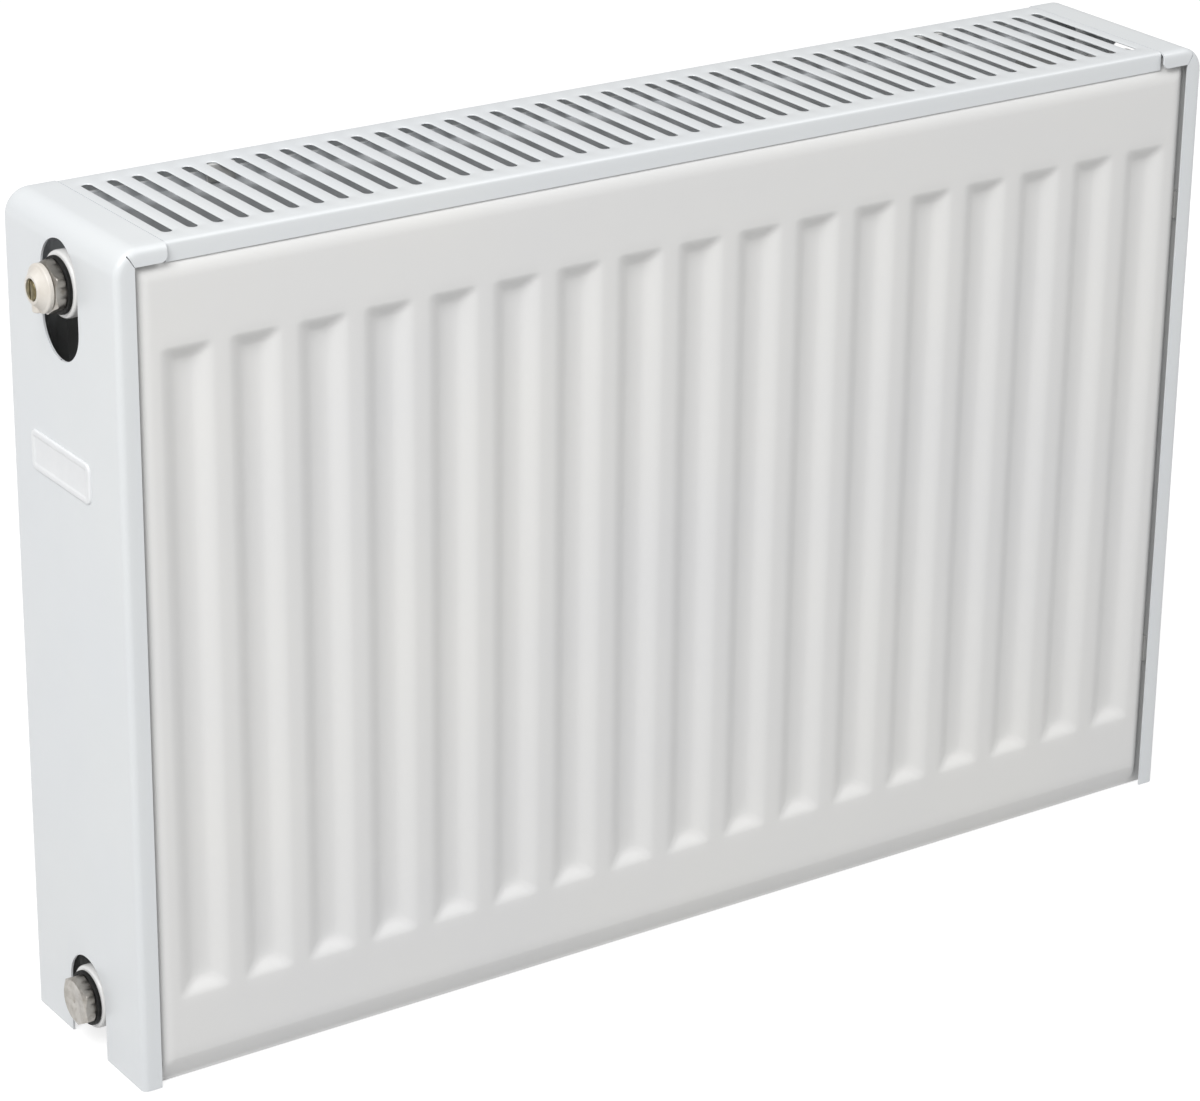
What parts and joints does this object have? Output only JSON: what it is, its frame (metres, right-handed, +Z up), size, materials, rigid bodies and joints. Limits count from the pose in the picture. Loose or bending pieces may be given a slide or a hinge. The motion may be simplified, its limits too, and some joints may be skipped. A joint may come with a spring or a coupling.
{
  "type": "panel radiator",
  "caption": "White steel panel radiator with ribbed front, slotted top grille, two lift-off side covers, vent plug, blind plug and wall lugs.",
  "frame": {"origin": "under the middle of the whole box, in the plane of the lower edges", "axes": "+X along the length towards the open ports, -Y towards the room, +Z up"},
  "size_m": [0.6136, 0.105, 0.4],
  "materials": {
    "panel_enamel": "white powder coat, satin",
    "convector_enamel": "grey dip primer, thinly top-coated, satin",
    "cover_enamel": "white powder coat, satin",
    "grille_enamel": "white powder coat, satin",
    "nickel": "dull nickel plate on brass",
    "nozzle_plastic": "moulded acetal, cream",
    "screw_brass": "turned brass, dulled",
    "seal_rubber": "moulded EPDM rubber",
    "badge_plastic": "moulded plastic, blank",
    "clip_plastic": "moulded nylon, off-white"
  },
  "bodies": {
    "radiator": {"front_outer_sheet": "panel_enamel", "front_inner_sheet": "convector_enamel", "rear_inner_sheet": "convector_enamel", "rear_outer_sheet": "panel_enamel", "front_convector": "convector_enamel", "rear_convector": "convector_enamel", "left_top_tee": "panel_enamel", "left_bottom_tee": "panel_enamel", "right_top_tee": "panel_enamel", "right_bottom_tee": "panel_enamel", "left_upper_lug": "panel_enamel", "left_lower_lug": "panel_enamel", "right_upper_lug": "panel_enamel", "right_lower_lug": "panel_enamel", "vent_plug_seal": "seal_rubber", "vent_plug_body": "nickel", "blind_plug_seal": "seal_rubber", "blind_plug": "nickel"},
    "nozzle": {"vent_nozzle": "nozzle_plastic"},
    "bleed": {"bleed_screw": "screw_brass"},
    "left_cover": {"left_side_cover": "cover_enamel", "left_cover_clips": "clip_plastic", "badge_plate": "badge_plastic"},
    "right_cover": {"right_side_cover": "cover_enamel", "right_cover_clips": "clip_plastic"},
    "grille": {"top_grille": "grille_enamel", "grille_clips": "clip_plastic"}
  },
  "joints": [
    {"name": "left_cover_lift", "type": "slide", "parent": "radiator", "child": "left_cover", "axis": [0, 0, 1], "range_m": [0, 0.018]},
    {"name": "right_cover_lift", "type": "slide", "parent": "radiator", "child": "right_cover", "axis": [0, 0, 1], "range_m": [0, 0.018]},
    {"name": "grille_lift", "type": "slide", "parent": "radiator", "child": "grille", "axis": [0, 0, 1], "range_m": [0, 0.05]},
    {"name": "nozzle_swivel", "type": "hinge", "parent": "radiator", "child": "nozzle", "pos_m": [-0.29315, 0, 0.371], "axis": [-1, 0, 0], "continuous": true},
    {"name": "bleed_turn", "type": "hinge", "parent": "radiator", "child": "bleed", "pos_m": [-0.29315, 0, 0.371], "axis": [-1, 0, 0], "range_deg": [0, 360]}
  ]
}
